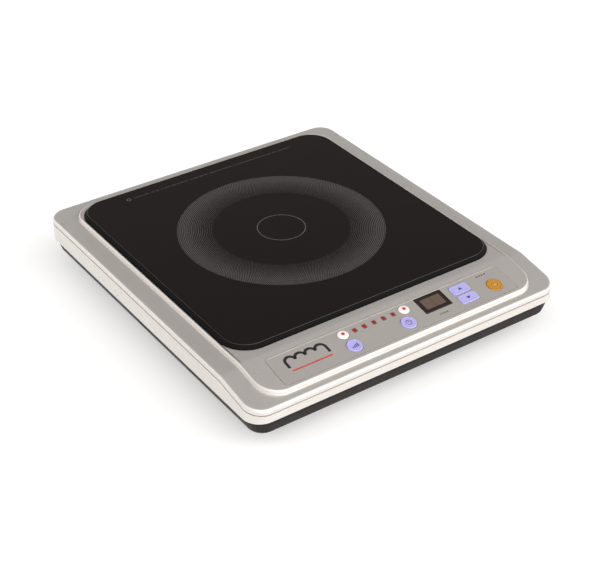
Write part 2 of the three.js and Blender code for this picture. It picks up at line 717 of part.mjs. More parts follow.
// A bush in the back wall's notch: outer flange, neck and inner flange, bored for the mains lead.
function cordGland() {
  const wallOut = DEPTH / 2 - PAN_INSET;
  const wallIn = wallOut - WALL;
  const top = SKIRT_BOTTOM - GAP;
  const slab = (grow, y0, y1) => {
    const geometry = block(GLAND.notch - GAP + grow, (top - GLAND.low) / 2, 1.5, y0, y1);
    geometry.rotateX(-Math.PI / 2);
    geometry.translate(GLAND.x, 0, (top + GLAND.low) / 2);
    return solid(geometry);
  };
  const bore = new THREE.CylinderGeometry(GLAND.bore, GLAND.bore, 20, 18);
  bore.translate(GLAND.x, wallOut, GLAND.z);
  const inner = slab(GLAND.flange, wallIn - 2.5, wallIn - GAP);
  const outer = slab(GLAND.flange, wallOut + GAP, wallOut + 2.8);
  const neck = slab(0, wallIn - 1, wallOut + 1);
  return geometryOf(joinAll(neck, [inner, outer]).subtract(solid(bore)));
}

place(hob, 'cord_gland', cordGland(), RUBBER);

const footProfile = [
  [0, 0], [FOOT.r - 2.5, 0], [FOOT.r - 1, 1.2], [FOOT.r, FLOOR_UNDER - GAP], [3, FLOOR_UNDER - GAP],
  [3, FLOOR_TOP + GAP], [4.4, FLOOR_TOP + GAP], [2.2, FLOOR_TOP + 2.6], [0, FLOOR_TOP + 2.6],
];
const screwProfile = [
  [0, 13.6], [3.2, 13.6], [4, 14.4], [4, 17 - GAP], [1.9, 17 - GAP], [1.9, 36], [0.6, 38], [0, 38],
];
const corners = [[-1, -1], [1, -1], [1, 1], [-1, 1]];
corners.forEach(([i, j], n) => {
  place(hob, `foot_${n + 1}`, turned(footProfile, i * FOOT.x, j * FOOT.y, 18), RUBBER);
  const y = j < 0 ? SCREW.front : SCREW.back;
  place(hob, `case_screw_${n + 1}`, turned(screwProfile, i * SCREW.x, y, 10), STEEL);
});

export default hob;
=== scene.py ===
"""Looks of a free-standing single-zone induction hob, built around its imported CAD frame."""

import json
import math

import bpy
import bmesh
from mathutils import Matrix, Vector


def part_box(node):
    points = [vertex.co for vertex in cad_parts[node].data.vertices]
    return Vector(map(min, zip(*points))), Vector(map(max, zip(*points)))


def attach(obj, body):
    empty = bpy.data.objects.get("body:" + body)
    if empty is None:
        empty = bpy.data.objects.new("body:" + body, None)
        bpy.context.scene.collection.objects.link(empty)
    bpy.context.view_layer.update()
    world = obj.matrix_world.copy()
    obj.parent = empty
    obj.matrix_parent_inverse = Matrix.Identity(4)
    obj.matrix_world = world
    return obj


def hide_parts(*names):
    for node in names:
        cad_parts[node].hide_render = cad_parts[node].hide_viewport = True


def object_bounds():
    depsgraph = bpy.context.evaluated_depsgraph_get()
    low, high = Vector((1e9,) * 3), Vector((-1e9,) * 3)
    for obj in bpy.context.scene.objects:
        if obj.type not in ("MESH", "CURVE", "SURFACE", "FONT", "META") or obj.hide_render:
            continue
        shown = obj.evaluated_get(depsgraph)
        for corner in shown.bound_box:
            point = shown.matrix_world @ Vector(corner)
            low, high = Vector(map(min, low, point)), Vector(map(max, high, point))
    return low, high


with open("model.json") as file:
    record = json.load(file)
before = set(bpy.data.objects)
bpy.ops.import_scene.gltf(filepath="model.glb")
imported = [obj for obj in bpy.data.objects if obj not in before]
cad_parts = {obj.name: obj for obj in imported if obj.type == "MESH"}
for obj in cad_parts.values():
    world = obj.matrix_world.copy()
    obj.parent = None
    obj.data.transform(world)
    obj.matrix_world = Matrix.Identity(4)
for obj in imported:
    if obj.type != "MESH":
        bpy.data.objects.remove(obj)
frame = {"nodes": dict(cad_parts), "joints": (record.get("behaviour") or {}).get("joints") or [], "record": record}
cad_low, cad_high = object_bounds()

MM = 0.001


def node_box(name):
    """Lowest and highest corner of a CAD node in millimetres."""
    low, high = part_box(name)
    return low / MM, high / MM


# ---------- sizes taken from the frame ----------

WIDTH = (cad_high.x - cad_low.x) / MM
DEPTH = (cad_high.y - cad_low.y) / MM
UPPER_TIER = node_box("top_cover")[1].z
GLASS_LOW, GLASS_HIGH = node_box("glass_plate")
SEAL_LOW, SEAL_HIGH = node_box("glass_seal")
SKIRT_LOW, SKIRT_HIGH = node_box("skirt_frame")
PAN_LOW = node_box("base_pan")[0]
ZONE = Vector(((GLASS_LOW.x + GLASS_HIGH.x) / 2, (GLASS_LOW.y + GLASS_HIGH.y) / 2))
GLASS_HALF = Vector(((GLASS_HIGH.x - GLASS_LOW.x) / 2, (GLASS_HIGH.y - GLASS_LOW.y) / 2))
PRESS = next(j for j in frame["joints"] if j["name"] == "power_press")
TILT = math.atan2(PRESS["axis"][1], -PRESS["axis"][2])

# ---------- sizes in millimetres that the frame doesn't state ----------

CREASE_Y = -130.5
SKIRT_TOP = 50.0
CREASE_BLEND = 1.6
TIER_STEP = 4.0
LOWER_TIER = UPPER_TIER - TIER_STEP
GROOVE = 1.0
CORNER = 17.0
GLASS_CORNER = 23.0
GAP = 0.3
WALL = 2.5
CORNER_STEPS = 16
FLANGE = 0.8


# ---------- mesh helpers ----------

def rounded_rect(x0, x1, y0, y1, corner, steps=CORNER_STEPS):
    """Points of a rounded rectangle, counter-clockwise."""
    r = max(corner, 0.05)
    centres = [(x1 - r, y1 - r), (x0 + r, y1 - r), (x0 + r, y0 + r), (x1 - r, y0 + r)]
    points = []
    for quarter, (cx, cy) in enumerate(centres):
        for i in range(steps + 1):
            angle = (quarter + i / steps) * math.pi / 2
            points.append((cx + r * math.cos(angle), cy + r * math.sin(angle)))
    return points


def case_ring(z, inset, front=None, back=None, corner=None):
    front = inset if front is None else front
    back = inset if back is None else back
    corner = CORNER - inset if corner is None else corner
    x = WIDTH / 2 - inset
    outline = rounded_rect(-x, x, -DEPTH / 2 + front, DEPTH / 2 - back, corner)
    return [(px, py, z) for px, py in outline]


def glass_ring(z, grow):
    x = GLASS_HALF.x + grow
    y = GLASS_HALF.y + grow
    outline = rounded_rect(ZONE.x - x, ZONE.x + x, ZONE.y - y, ZONE.y + y, GLASS_CORNER + grow)
    return [(px, py, z) for px, py in outline]


def skin(rings, tube=False, shape=None):
    """Adds rings of points to a bmesh as a closed body. A tube joins its last ring to its first."""
    shape = shape or bmesh.new()
    count = len(rings[0])
    made = [[shape.verts.new(point) for point in ring] for ring in rings]
    last = len(rings) if tube else len(rings) - 1
    for i in range(last):
        lower = made[i]
        upper = made[(i + 1) % len(rings)]
        for j in range(count):
            k = (j + 1) % count
            shape.faces.new((lower[j], lower[k], upper[k], upper[j]))
    if not tube:
        shape.faces.new(list(reversed(made[0])))
        shape.faces.new(made[-1])
    return shape


def turned(profile, steps=48, centre=(0, 0)):
    """Rings of points: a profile of (radius, height) points turned about a vertical axis."""
    rings = []
    for r, z in profile:
        turn = [2 * math.pi * i / steps for i in range(steps)]
        rings.append([(centre[0] + r * math.cos(a), centre[1] + r * math.sin(a), z) for a in turn])
    return rings


def arc(cx, cz, r, start, end, steps):
    """Points of an arc in a profile, angles in degrees."""
    angles = [math.radians(start + (end - start) * i / steps) for i in range(steps + 1)]
    return [(cx + r * math.cos(a), cz + r * math.sin(a)) for a in angles]


def bend(shape, keep_below=-1e9):
    """Lowers what lies in front of the crease so that it follows the panel's slope."""
    for step in range(-3, 4):
        y = CREASE_Y + CREASE_BLEND * step / 3
        geometry = list(shape.verts) + list(shape.edges) + list(shape.faces)
        bmesh.ops.bisect_plane(shape, geom=geometry, dist=1e-5, plane_co=(0, y, 0), plane_no=(0, 1, 0))
    for vert in shape.verts:
        if vert.co.z > keep_below:
            vert.co.z -= crease_drop(vert.co.y)
    return shape


def crease_drop(y):
    ahead = CREASE_Y - y
    if ahead <= -CREASE_BLEND:
        return 0.0
    if ahead >= CREASE_BLEND:
        return ahead * math.tan(TILT)
    return math.tan(TILT) * (ahead + CREASE_BLEND) ** 2 / (4 * CREASE_BLEND)


def on_panel(x, up, out):
    """A point given across the panel, up its slope and out of its face, in the frame's millimetres."""
    y = CREASE_Y + up * math.cos(TILT) - out * math.sin(TILT)
    z = UPPER_TIER + up * math.sin(TILT) + out * math.cos(TILT)
    return (x, y, z)


def panel_place(name):
    """Where the middle of a CAD node lies on the panel: across it, and up its slope."""
    low, high = node_box(name)
    middle = (low + high) / 2
    up = (middle.y - CREASE_Y) * math.cos(TILT) + (middle.z - UPPER_TIER) * math.sin(TILT)
    return middle.x, up


def panel_ring(centre, half_x, half_y, corner, out, steps=8):
    outline = rounded_rect(-half_x, half_x, -half_y, half_y, corner, steps)
    return [on_panel(centre[0] + px, centre[1] + py, out) for px, py in outline]


def panel_block(centre, half_x, half_y, corner, low, high, shape=None):
    rings = [panel_ring(centre, half_x, half_y, corner, out) for out in (low, high)]
    return skin(rings, shape=shape)


def new_object(name, shape, sharp=32):
    """Makes a mesh object in metres from a bmesh in millimetres, smooth up to the sharp angle."""
    bmesh.ops.recalc_face_normals(shape, faces=shape.faces)
    for vert in shape.verts:
        vert.co *= MM
    mesh = bpy.data.meshes.new(name)
    shape.to_mesh(mesh)
    shape.free()
    mesh.shade_smooth()
    mesh.set_sharp_from_angle(angle=math.radians(sharp))
    made = bpy.data.objects.new(name, mesh)
    bpy.context.scene.collection.objects.link(made)
    return made


def apply_modifiers(piece, sharp=32):
    bpy.context.view_layer.update()
    graph = bpy.context.evaluated_depsgraph_get()
    mesh = bpy.data.meshes.new_from_object(piece.evaluated_get(graph))
    piece.modifiers.clear()
    piece.data = mesh
    mesh.shade_smooth()
    mesh.set_sharp_from_angle(angle=math.radians(sharp))


def cut(piece, cutters):
    """Cuts other objects out of a piece and removes them."""
    for cutter in cutters:
        boolean = piece.modifiers.new("cut", "BOOLEAN")
        boolean.operation = "DIFFERENCE"
        boolean.solver = "EXACT"
        boolean.object = cutter
        apply_modifiers(piece)
        bpy.data.objects.remove(cutter)


def soften(piece, width):
    """Rounds the sharp edges of a piece a little, and keeps its flat faces flat in shading."""
    bevel = piece.modifiers.new("bevel", "BEVEL")
    bevel.width = width * MM
    bevel.segments = 2
    bevel.limit_method = "ANGLE"
    bevel.angle_limit = math.radians(50)
    bevel.use_clamp_overlap = True
    apply_modifiers(piece)


def settle(piece, body, slot, look, *nodes):
    """Gives a finished piece its normals, material and body, and hides the CAD nodes it stands for."""
    normals = piece.modifiers.new("normals", "WEIGHTED_NORMAL")
    normals.keep_sharp = True
    normals.weight = 60
    piece.data.materials.clear()
    piece.data.materials.append(look)
    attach(piece, body)
    if nodes:
        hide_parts(*nodes)
    return piece


# ---------- material helpers ----------

def tone(red, green, blue):
    """A screen colour from 0 to 255 as linear values."""
    values = []
    for channel in (red, green, blue):
        c = channel / 255
        values.append(c / 12.92 if c <= 0.04045 else ((c + 0.055) / 1.055) ** 2.4)
    return (*values, 1)


class Look:
    """A node material that is built up step by step. Distances are in millimetres of the shared frame."""

    def __init__(self, name, colour, roughness, metallic=0.0, **fixed):
        self.material = bpy.data.materials.new(name)
        self.material.use_nodes = True
        self.tree = self.material.node_tree
        self.shader = self.tree.nodes["Principled BSDF"]
        self.colour = tone(*colour)
        self.shader.inputs["Base Color"].default_value = self.colour
        self.shader.inputs["Roughness"].default_value = roughness
        self.shader.inputs["Metallic"].default_value = metallic
        for key, value in fixed.items():
            self.shader.inputs[key.replace("_", " ")].default_value = value
        coordinates = self.tree.nodes.new("ShaderNodeTexCoord")
        scale = self.tree.nodes.new("ShaderNodeVectorMath")
        scale.operation = "SCALE"
        scale.inputs["Scale"].default_value = 1 / MM
        self.link(coordinates.outputs["Object"], scale.inputs[0])
        self.place = scale.outputs[0]
        split = self.tree.nodes.new("ShaderNodeSeparateXYZ")
        self.link(self.place, split.inputs[0])
        self.x, self.y, self.z = split.outputs

    def link(self, source, target):
        self.tree.links.new(source, target)

    def feed(self, value, target):
        if hasattr(value, "is_output"):
            self.link(value, target)
        else:
            target.default_value = value

    def math(self, operation, *values):
        node = self.tree.nodes.new("ShaderNodeMath")
        node.operation = operation
        for value, target in zip(values, node.inputs):
            self.feed(value, target)
        return node.outputs[0]

    def length(self, x, y):
        squares = [self.math("MULTIPLY", value, value) for value in (x, y)]
        return self.math("SQRT", self.math("ADD", *squares))

    def distance(self, x0, y0):
        """How far a point lies, seen from above, from x0, y0."""
        return self.length(self.math("SUBTRACT", self.x, x0), self.math("SUBTRACT", self.y, y0))

    def near(self, value, middle, reach):
        """1 where value lies within reach of middle, and 0 elsewhere."""
        return self.math("LESS_THAN", self.math("ABSOLUTE", self.math("SUBTRACT", value, middle)), reach)

    def between(self, value, low, high):
        """1 where value lies between low and high, and 0 elsewhere."""
        above = self.math("GREATER_THAN", value, low)
        return self.math("MULTIPLY", above, self.math("LESS_THAN", value, high))

    def noise(self, size, detail=3.0):
        node = self.tree.nodes.new("ShaderNodeTexNoise")
        node.inputs["Scale"].default_value = 1 / size
        node.inputs["Detail"].default_value = detail
        node.inputs["Roughness"].default_value = 0.5
        self.link(self.place, node.inputs["Vector"])
        return node.outputs["Fac"]

    def cells(self, size):
        node = self.tree.nodes.new("ShaderNodeTexVoronoi")
        node.inputs["Scale"].default_value = 1 / size
        self.link(self.place, node.inputs["Vector"])
        return node.outputs["Distance"]

    def span(self, value, low, high, out_low=0.0, out_high=1.0, smooth=False):
        node = self.tree.nodes.new("ShaderNodeMapRange")
        node.interpolation_type = "SMOOTHSTEP" if smooth else "LINEAR"
        self.feed(value, node.inputs["Value"])
        for key, number in (("From Min", low), ("From Max", high), ("To Min", out_low), ("To Max", out_high)):
            self.feed(number, node.inputs[key])
        return node.outputs["Result"]

    def mix(self, factor, first, second):
        node = self.tree.nodes.new("ShaderNodeMix")
        node.data_type = "RGBA"
        self.feed(factor, node.inputs[0])
        self.feed(first, node.inputs[6])
        self.feed(second, node.inputs[7])
        return node.outputs[2]

    def shaded(self, factor, amount):
        """The base colour made lighter and darker by amount as factor goes from 1 to 0."""
        dark = tuple(c * (1 - amount) for c in self.colour[:3]) + (1,)
        light = tuple(min(1, c * (1 + amount)) for c in self.colour[:3]) + (1,)
        return self.mix(factor, dark, light)

    def base(self, value):
        self.feed(value, self.shader.inputs["Base Color"])

    def rough(self, value):
        self.feed(value, self.shader.inputs["Roughness"])

    def bump(self, height, depth):
        """height is 0 to 1, and depth is in millimetres."""
        node = self.tree.nodes.new("ShaderNodeBump")
        node.inputs["Distance"].default_value = depth * MM
        node.inputs["Strength"].default_value = 1.0
        self.link(height, node.inputs["Height"])
        self.link(node.outputs["Normal"], self.shader.inputs["Normal"])


def silver_paint(name="silver_paint", colour=(214, 209, 204), metallic=0.55):
    look = Look(name, colour, 0.3, metallic, Coat_Weight=0.1, Coat_Roughness=0.2)
    flakes = look.math("MULTIPLY", look.noise(1.3, 1.0), 0.4)
    clouds = look.math("MULTIPLY", look.noise(60.0, 3.0), 0.6)
    look.base(look.shaded(look.math("ADD", flakes, clouds), 0.05))
    look.rough(look.span(look.noise(18.0, 4.0), 0.3, 0.7, 0.27, 0.33))
    look.bump(look.noise(2.2, 1.0), 0.004)
    return look.material


def grained_plastic(name, colour, roughness=0.52, grain=0.55, depth=0.03):
    look = Look(name, colour, roughness)
    look.base(look.shaded(look.noise(25.0, 4.0), 0.12))
    look.rough(look.span(look.noise(9.0, 3.0), 0.3, 0.7, roughness - 0.06, roughness + 0.06))
    look.bump(look.cells(grain), depth)
    return look.material


def base_plastic():
    """Black moulded plastic, with painted shade: darkest in the shadow line just under the skirt."""
    look = Look("base_plastic", (30, 26, 24), 0.55, Specular_IOR_Level=0.2)
    grain = look.shaded(look.noise(25.0, 4.0), 0.12)
    # painted shade: the colour goes near black towards the top of the wall, where the skirt overhangs it
    look.base(look.mix(look.span(look.z, 28.0, 31.5, smooth=True), grain, tone(7, 6, 6)))
    look.rough(look.span(look.noise(9.0, 3.0), 0.3, 0.7, 0.49, 0.61))
    look.bump(look.cells(0.55), 0.03)
    return look.material


def smooth_plastic(name, colour, roughness=0.35, **fixed):
    look = Look(name, colour, roughness, **fixed)
    look.base(look.shaded(look.noise(3.0, 3.0), 0.05))
    look.rough(look.span(look.noise(2.0, 3.0), 0.3, 0.7, roughness - 0.04, roughness + 0.05))
    look.bump(look.noise(0.4, 2.0), 0.006)
    return look.material


def rubber(name, colour=(38, 36, 35), shine=0.5):
    look = Look(name, colour, 0.72, Specular_IOR_Level=shine)
    look.base(look.shaded(look.noise(6.0, 4.0), 0.2))
    look.bump(look.noise(0.5, 3.0), 0.03)
    return look.material


def metal(name, colour, roughness=0.35, grain=0.4):
    look = Look(name, colour, roughness, 0.9)
    look.base(look.shaded(look.noise(4.0, 3.0), 0.08))
    look.rough(look.span(look.noise(1.5, 3.0), 0.3, 0.7, roughness - 0.08, roughness + 0.1))
    look.bump(look.noise(grain, 2.0), 0.01)
    return look.material


DOTS_IN, DOTS_OUT, DOTS_FULL = 63.6, 96.6, 88.6
DOT_ROW, DOTS_ROUND = 1.65, 330
DOT_SMALL, DOT_LARGE, DOT_BLUR = 0.16, 0.38, 0.06
CIRCLE_RADIUS, CIRCLE_HALF = 22.4, 0.42
WORDS_Y, WORDS_X0, WORDS_X1, WORDS_HALF = 146.0, -86.0, 95.0, 1.1
MARK_X, MARK_RADIUS, MARK_HALF = -91.5, 1.9, 0.5


def zone_dots(look):
    """A ring of fine dots in rows about the middle of the zone, larger towards its outer edge."""
    radius = look.distance(ZONE.x, ZONE.y)
    turn = look.math("ARCTAN2", look.math("SUBTRACT", look.y, ZONE.y), look.math("SUBTRACT", look.x, ZONE.x))
    row = look.math("DIVIDE", radius, DOT_ROW)
    offset = look.math("MULTIPLY", look.math("MODULO", look.math("FLOOR", row), 2.0), 0.5)
    column = look.math("ADD", look.math("MULTIPLY", turn, DOTS_ROUND / (2 * math.pi)), offset)
    across = look.math("SUBTRACT", look.math("FRACT", look.math("ADD", column, 1000.0)), 0.5)
    along = look.math("SUBTRACT", look.math("FRACT", row), 0.5)
    size = look.span(radius, DOTS_IN, DOTS_FULL, DOT_SMALL, DOT_LARGE)
    past = look.math("ADD", size, DOT_BLUR)
    full = look.math("SUBTRACT", size, DOT_BLUR)
    dot = look.span(look.length(across, along), past, full, 0.0, 1.0)
    return look.math("MULTIPLY", dot, look.between(radius, DOTS_IN, DOTS_OUT))


def printed_glass():
    """Black glass-ceramic with a ring of dots, a thin circle inside it and a faint broken line behind."""
    look = Look("printed_glass", (17, 10, 8), 0.045, 0.0, IOR=1.5)
    dots = zone_dots(look)
    circle = look.near(look.distance(ZONE.x, ZONE.y), CIRCLE_RADIUS, CIRCLE_HALF)
    dash = look.math("GREATER_THAN", look.noise(1.3, 1.0), 0.5)
    band = look.near(look.y, WORDS_Y, WORDS_HALF)
    line = look.math("MULTIPLY", band, look.between(look.x, WORDS_X0, WORDS_X1))
    words = look.math("MULTIPLY", line, look.math("MULTIPLY", dash, 0.55))
    mark = look.near(look.distance(MARK_X, WORDS_Y), MARK_RADIUS, MARK_HALF)
    ink = look.math("MAXIMUM", look.math("MAXIMUM", dots, circle), look.math("MAXIMUM", words, mark))
    look.base(look.mix(ink, look.shaded(look.noise(40.0, 2.0), 0.15), tone(88, 83, 81)))
    polish = look.span(look.noise(30.0, 3.0), 0.3, 0.7, 0.035, 0.06)
    look.rough(look.math("ADD", look.math("MULTIPLY", ink, 0.25), polish))
    return look.material


# ---------- camera, light and floor ----------

CAMERA_TURN, CAMERA_RISE, CAMERA_ROLL = -34.539, 33.535, -0.248
CAMERA_LENS, CAMERA_SENSOR = 84.54, 36.0
CAMERA_PLACE = (-0.6192, -0.9091, 0.7437)


def make_camera():
    turn, rise, roll = (math.radians(angle) for angle in (CAMERA_TURN, CAMERA_RISE, CAMERA_ROLL))
    level = math.cos(rise)
    back = Vector((math.sin(turn) * level, -math.cos(turn) * level, math.sin(rise)))
    right = Vector((math.cos(turn), math.sin(turn), 0))
    up = back.cross(right)
    turned_right = right * math.cos(roll) + up * math.sin(roll)
    turned_up = up * math.cos(roll) - right * math.sin(roll)
    data = bpy.data.cameras.new("camera")
    data.sensor_width = CAMERA_SENSOR
    data.lens = CAMERA_LENS
    data.clip_start = 0.05
    data.clip_end = 20
    camera = bpy.data.objects.new("camera", data)
    bpy.context.scene.collection.objects.link(camera)
    rotation = Matrix((turned_right, turned_up, back)).transposed()
    camera.matrix_world = Matrix.Translation(CAMERA_PLACE) @ rotation.to_4x4()
    bpy.context.scene.camera = camera


DIM_WAY = Vector((0.45, 0.55, 0.70)).normalized()
ROOM_STRENGTH = 2.55
LEFT_SHARE = 0.42                   # how bright the room is at the hob's left, against its front


def make_world():
    """A soft room: dim high up behind the hob and dimmer at its left, bright in front and near the horizon."""
    world = bpy.data.worlds.new("studio")
    bpy.context.scene.world = world
    world.use_nodes = True
    tree = world.node_tree
    background = tree.nodes["Background"]
    coordinates = tree.nodes.new("ShaderNodeTexCoord")
    facing = tree.nodes.new("ShaderNodeVectorMath")
    facing.operation = "DOT_PRODUCT"
    facing.inputs[1].default_value = DIM_WAY
    tree.links.new(coordinates.outputs["Generated"], facing.inputs[0])
    ramp = tree.nodes.new("ShaderNodeValToRGB")
    tree.links.new(facing.outputs["Value"], ramp.inputs[0])
    ramp.color_ramp.elements.remove(ramp.color_ramp.elements[1])
    for place, value in ((0.0, 1.0), (0.38, 1.0), (0.55, 0.4), (0.8, 0.09), (1.0, 0.06)):
        element = ramp.color_ramp.elements.new(place) if place else ramp.color_ramp.elements[0]
        element.position = place
        element.color = (value, value, value, 1)
    split = tree.nodes.new("ShaderNodeSeparateXYZ")
    tree.links.new(coordinates.outputs["Generated"], split.inputs[0])
    horizon = tree.nodes.new("ShaderNodeMapRange")
    tree.links.new(split.outputs[2], horizon.inputs["Value"])
    for key, value in (("From Min", 0.08), ("From Max", 0.3), ("To Min", 0.9), ("To Max", 0.0)):
        horizon.inputs[key].default_value = value
    brighter = tree.nodes.new("ShaderNodeMath")
    brighter.operation = "MAXIMUM"
    tree.links.new(ramp.outputs[0], brighter.inputs[0])
    tree.links.new(horizon.outputs[0], brighter.inputs[1])
    left = tree.nodes.new("ShaderNodeMapRange")
    tree.links.new(split.outputs[0], left.inputs["Value"])
    for key, value in (("From Min", -0.9), ("From Max", 0.1), ("To Min", LEFT_SHARE), ("To Max", 1.0)):
        left.inputs[key].default_value = value * (ROOM_STRENGTH if key.startswith("To") else 1)
    strength = tree.nodes.new("ShaderNodeMath")
    strength.operation = "MULTIPLY"
    tree.links.new(brighter.outputs[0], strength.inputs[0])
    tree.links.new(left.outputs[0], strength.inputs[1])
    tree.links.new(strength.outputs[0], background.inputs["Strength"])
    background.inputs["Color"].default_value = (1, 0.988, 0.977, 1)


FLOOR_GLOW = 0.35                   # a translucent table, lit a little from below
FLOOR_HALF = 6000
FLOOR_DROP = 0.0002                 # in metres, so that the feet stand clear of the table's face


def make_floor():
    shape = bmesh.new()
    bmesh.ops.create_grid(shape, x_segments=2, y_segments=2, size=FLOOR_HALF)
    floor = new_object("floor", shape)
    look = Look("floor", (224, 224, 223), 0.75, Emission_Strength=FLOOR_GLOW)
    look.shader.inputs["Emission Color"].default_value = (1, 1, 1, 1)
    look.base(look.shaded(look.noise(900.0, 2.0), 0.006))
    floor.data.materials.append(look.material)
    floor.location.z = -FLOOR_DROP


# ---------- pieces ----------

STEP_SIDE, STEP_FRONT, STEP_BACK, STEP_CORNER = 18.1, 6.9, 14.1, 22.0
STEP_EDGE = [(0, 0), (0.12, 0.35), (0.42, 1.0), (0.62, 1.9), (0.8, 2.55), (1.05, 3.15), (1.4, 3.6),
             (1.85, 3.88), (2.4, TIER_STEP)]
RIM_ROUND = 2.6


def tier_ring(z, extra):
    return case_ring(z, STEP_SIDE + extra, STEP_FRONT + extra, STEP_BACK + extra, STEP_CORNER - extra)


def panel_cutter(name, centre, half_x, half_y, corner, low=-9, high=6):
    return new_object(name, panel_block(centre, half_x, half_y, corner, low, high))


KEYS = ("power", "round_left", "round_right", "up", "down")
RECT_KEY_HALF_Y = 5.2
LENS_HALF = (1.7, 2.1)
LENS_CORNER = 0.5


def key_shape(name):
    """Half sizes and corner of a key's cap."""
    low, high = node_box(f"key_{name}")
    half_x = (high.x - low.x) / 2 - FLANGE
    if name in ("up", "down"):
        return half_x, RECT_KEY_HALF_Y, 2.0
    return half_x, half_x, half_x


def openings(grow):
    """(centre, half sizes, corner) of each opening in the panel, wider by grow than what stands in it."""
    found = []
    for name in KEYS:
        half_x, half_y, corner = key_shape(name)
        found.append((panel_place(f"switch_{name}"), half_x + grow, half_y + grow, corner + grow))
    for i in range(1, 6):
        half_x, half_y = LENS_HALF
        found.append((panel_place(f"indicator_lens_{i}"), half_x + grow, half_y + grow, LENS_CORNER + grow))
    for side in ("left", "right"):
        low, high = node_box(f"mode_lens_{side}")
        r = (high.x - low.x) / 2 + grow
        found.append((panel_place(f"mode_lens_{side}"), r, r, r))
    low, high = node_box("display_window")
    half_x = (high.x - low.x) / 2
    found.append((panel_place("display_window"), half_x + grow, DISPLAY_HALF_Y + grow, 0.8 + grow))
    return found


DISPLAY_HALF_Y = 9.8
OVERLAY_LOW, OVERLAY_HIGH = node_box("panel_overlay")
OVERLAY_HALF_X = (OVERLAY_HIGH.x - OVERLAY_LOW.x) / 2
OVERLAY_HALF_Y = 16.6
OVERLAY_CORNER = 3
OVERLAY_CENTRE = panel_place("panel_overlay")
OVERLAY_FLOOR = -0.8
OVERLAY_TOP = 0.2


def make_cover(look):
    rim = LOWER_TIER - RIM_ROUND
    low = SKIRT_TOP + GROOVE
    lip = SKIRT_TOP + GAP
    rings = [case_ring(lip, 1.3), case_ring(low, 1.3), case_ring(low, 0.25), case_ring(low + 0.25, 0)]
    for inset, z in arc(0, 0, 1, 180, 90, 10):
        rings.append(case_ring(rim + RIM_ROUND * z, RIM_ROUND * (1 + inset)))
    rings.append(case_ring(LOWER_TIER, RIM_ROUND + 1))
    rings.append(case_ring(LOWER_TIER, STEP_SIDE - 1, STEP_FRONT - 1, STEP_BACK - 1, STEP_CORNER + 1))
    rings += [tier_ring(LOWER_TIER + up, inwards) for inwards, up in STEP_EDGE]
    rings.append(tier_ring(UPPER_TIER, 3.2))
    grow = SEAL_HIGH.x - GLASS_HIGH.x + GAP
    rings.append(glass_ring(UPPER_TIER, grow + 1))
    rings.append(glass_ring(UPPER_TIER - 0.05, grow + 0.15))
    rings.append(glass_ring(UPPER_TIER - 0.2, grow))
    under = GLASS_LOW.z - GAP
    rings += [glass_ring(under, grow), glass_ring(under, -10), glass_ring(under - 2.5, -10)]
    rings += [tier_ring(under - 2.5, WALL), tier_ring(LOWER_TIER - WALL, WALL)]
    rings += [case_ring(LOWER_TIER - WALL, WALL), case_ring(lip, WALL)]
    piece = new_object("cover_shell", bend(skin(rings, tube=True)))
    inlay = (OVERLAY_CENTRE, OVERLAY_HALF_X + GAP, OVERLAY_HALF_Y + GAP, OVERLAY_CORNER + GAP)
    cutters = [panel_cutter("cut_overlay", *inlay, OVERLAY_FLOOR)]
    cutters += [panel_cutter(f"cut_{i}", *opening) for i, opening in enumerate(openings(0.4))]
    cut(piece, cutters)
    return settle(piece, "case", "silver_case", look, "top_cover")


def make_skirt(look):
    low, high = SKIRT_LOW.z, SKIRT_HIGH.z
    rings = [case_ring(low + up, inset) for up, inset in ((0, 1.0), (0.15, 0.5), (0.45, 0.13), (0.9, 0))]
    rings += [case_ring(high - down, inset) for down, inset in ((0.3, 0), (0.08, 0.08), (0, 0.3), (0, WALL))]
    rings += [case_ring(low + 2, WALL), case_ring(low + 2, 8), case_ring(low, 8)]
    piece = new_object("skirt_band", bend(skin(rings, tube=True), low + 3))
    return settle(piece, "case", "silver_case", look, "skirt_frame")


PAN_INSET, PAN_SIDE, PAN_CORNER = 4.0, 5.8, 14.0
LEAN_SIDE, LEAN_FRONT = 4.6, 2.4
FLOOR_INSET = 17.0
CHINE = 20.7


def pan_ring(z, extra):
    """The pan's outline at z. Its side and front walls lean out towards the skirt, its back wall doesn't."""
    share = max(0, (z - CHINE) / (SKIRT_LOW.z - CHINE))
    side = PAN_SIDE - LEAN_SIDE * share + extra
    front = PAN_INSET - LEAN_FRONT * share + extra
    return case_ring(z, side, front, PAN_INSET + extra, PAN_CORNER + LEAN_FRONT * share - extra)


INTAKE_REACH, INTAKE_PITCH = 41, 8.6
SLOT_HALF, SLOT_PITCH, SLOT_DEPTH = 2, 9, 12
SIDE_SLOTS, SIDE_FIRST = 12, 20
BACK_SLOTS, BACK_FIRST = 13, -30
BORES = {"foot": 3.4, "case_screw": 4.6}


